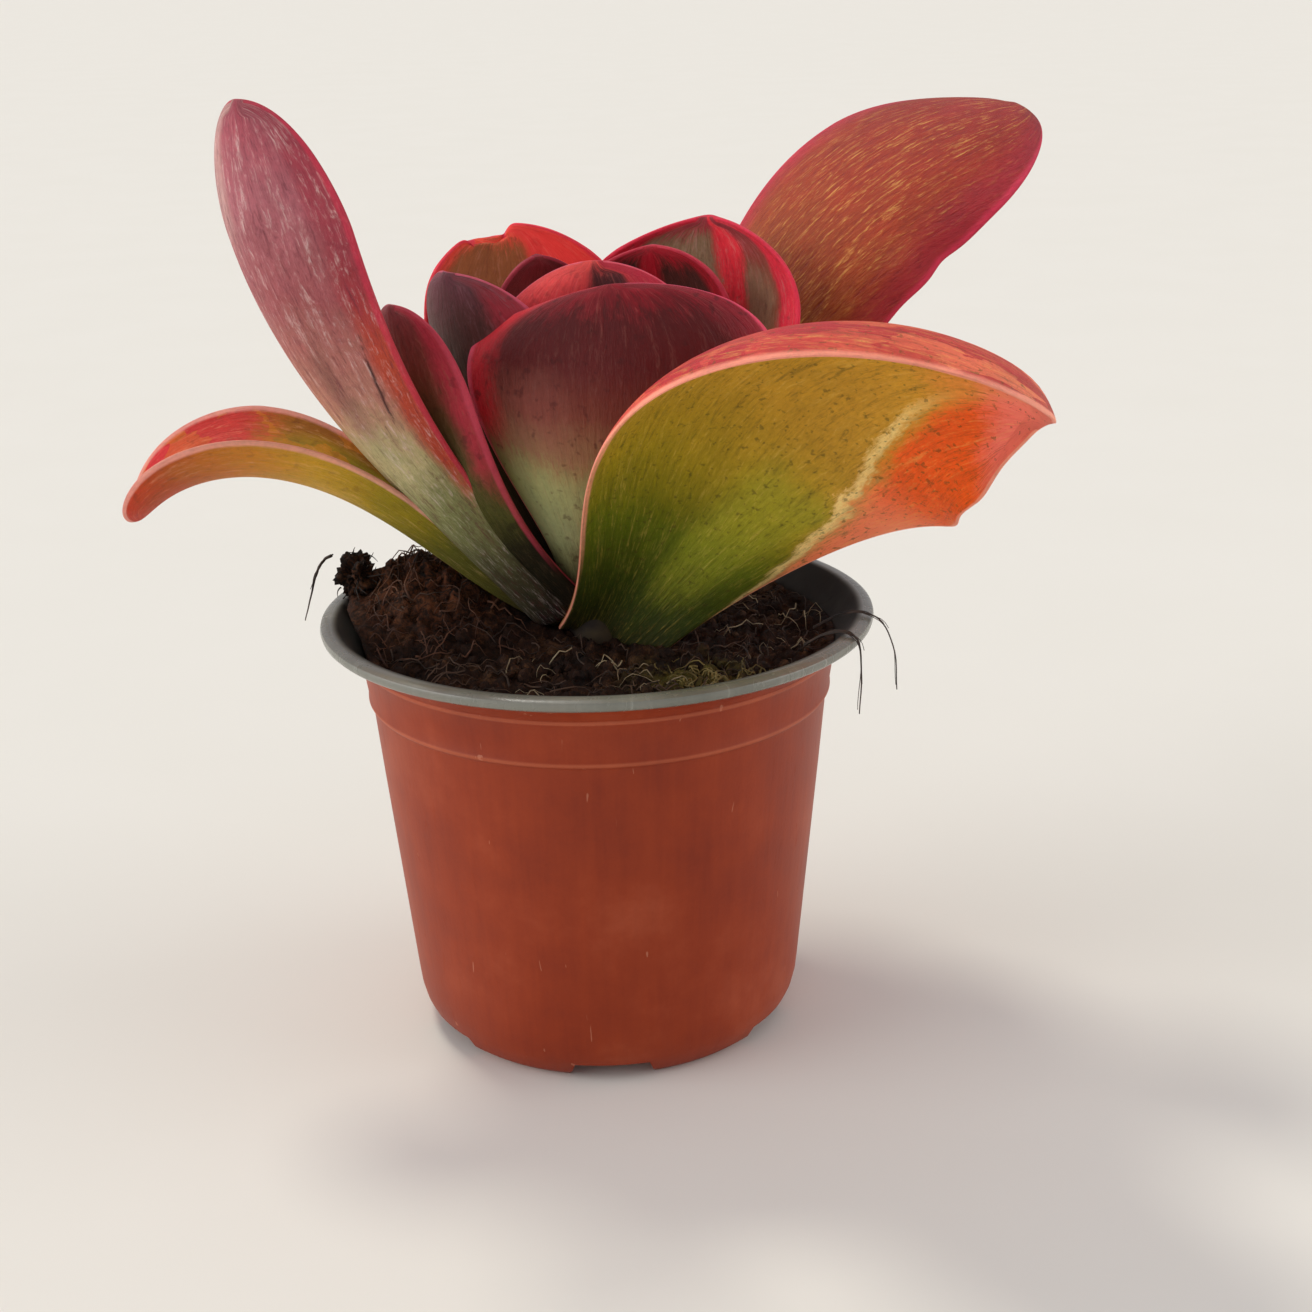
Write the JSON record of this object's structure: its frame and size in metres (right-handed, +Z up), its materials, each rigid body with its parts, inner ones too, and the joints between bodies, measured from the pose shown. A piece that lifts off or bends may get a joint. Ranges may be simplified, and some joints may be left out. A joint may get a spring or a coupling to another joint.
{
  "type": "potted kalanchoe",
  "caption": "Paddle-leaved succulent kalanchoe with thick reddish leaves, growing in potting soil in a thin-walled terracotta plastic nursery pot.",
  "frame": {"origin": "on the pot's axis, at the level of the feet it stands on", "axes": "+Z up along the pot's axis, +Y towards the back of the plant, +X to the right seen from the front"},
  "size_m": [0.1953, 0.1709, 0.2062],
  "materials": {
    "pot_plastic": "satin",
    "potting_mix": "matte",
    "stem": "satin",
    "root": "matte",
    "leaf_mauve": "satin",
    "leaf_coral": "satin",
    "leaf_brick": "satin",
    "leaf_olive": "satin",
    "leaf_maroon": "satin",
    "leaf_crimson": "satin",
    "leaf_sage": "satin"
  },
  "bodies": {
    "root": {"nursery_pot": "pot_plastic", "potting_soil": "potting_mix", "soil_clump": "potting_mix", "main_stem": "stem", "leaf_front_flap": "leaf_olive", "leaf_tall_left": "leaf_mauve", "leaf_arched_left": "leaf_coral", "leaf_tall_right": "leaf_brick", "leaf_front_centre": "leaf_maroon", "leaf_narrow_left": "leaf_maroon", "leaf_dusky_left": "leaf_maroon", "leaf_notched_back": "leaf_crimson", "leaf_back_right": "leaf_crimson", "leaf_coral_centre": "leaf_coral", "leaf_inner_right": "leaf_crimson", "leaf_inner_dark": "leaf_maroon", "leaf_low_back": "leaf_sage", "leaf_low_back_right": "leaf_sage", "leaf_low_back_left": "leaf_sage", "leaf_crown_1": "leaf_sage", "leaf_crown_2": "leaf_sage", "leaf_crown_3": "leaf_sage", "root_hair_right_long": "root", "root_hair_right_thin": "root", "root_hair_left": "root"}
  },
  "joints": []
}
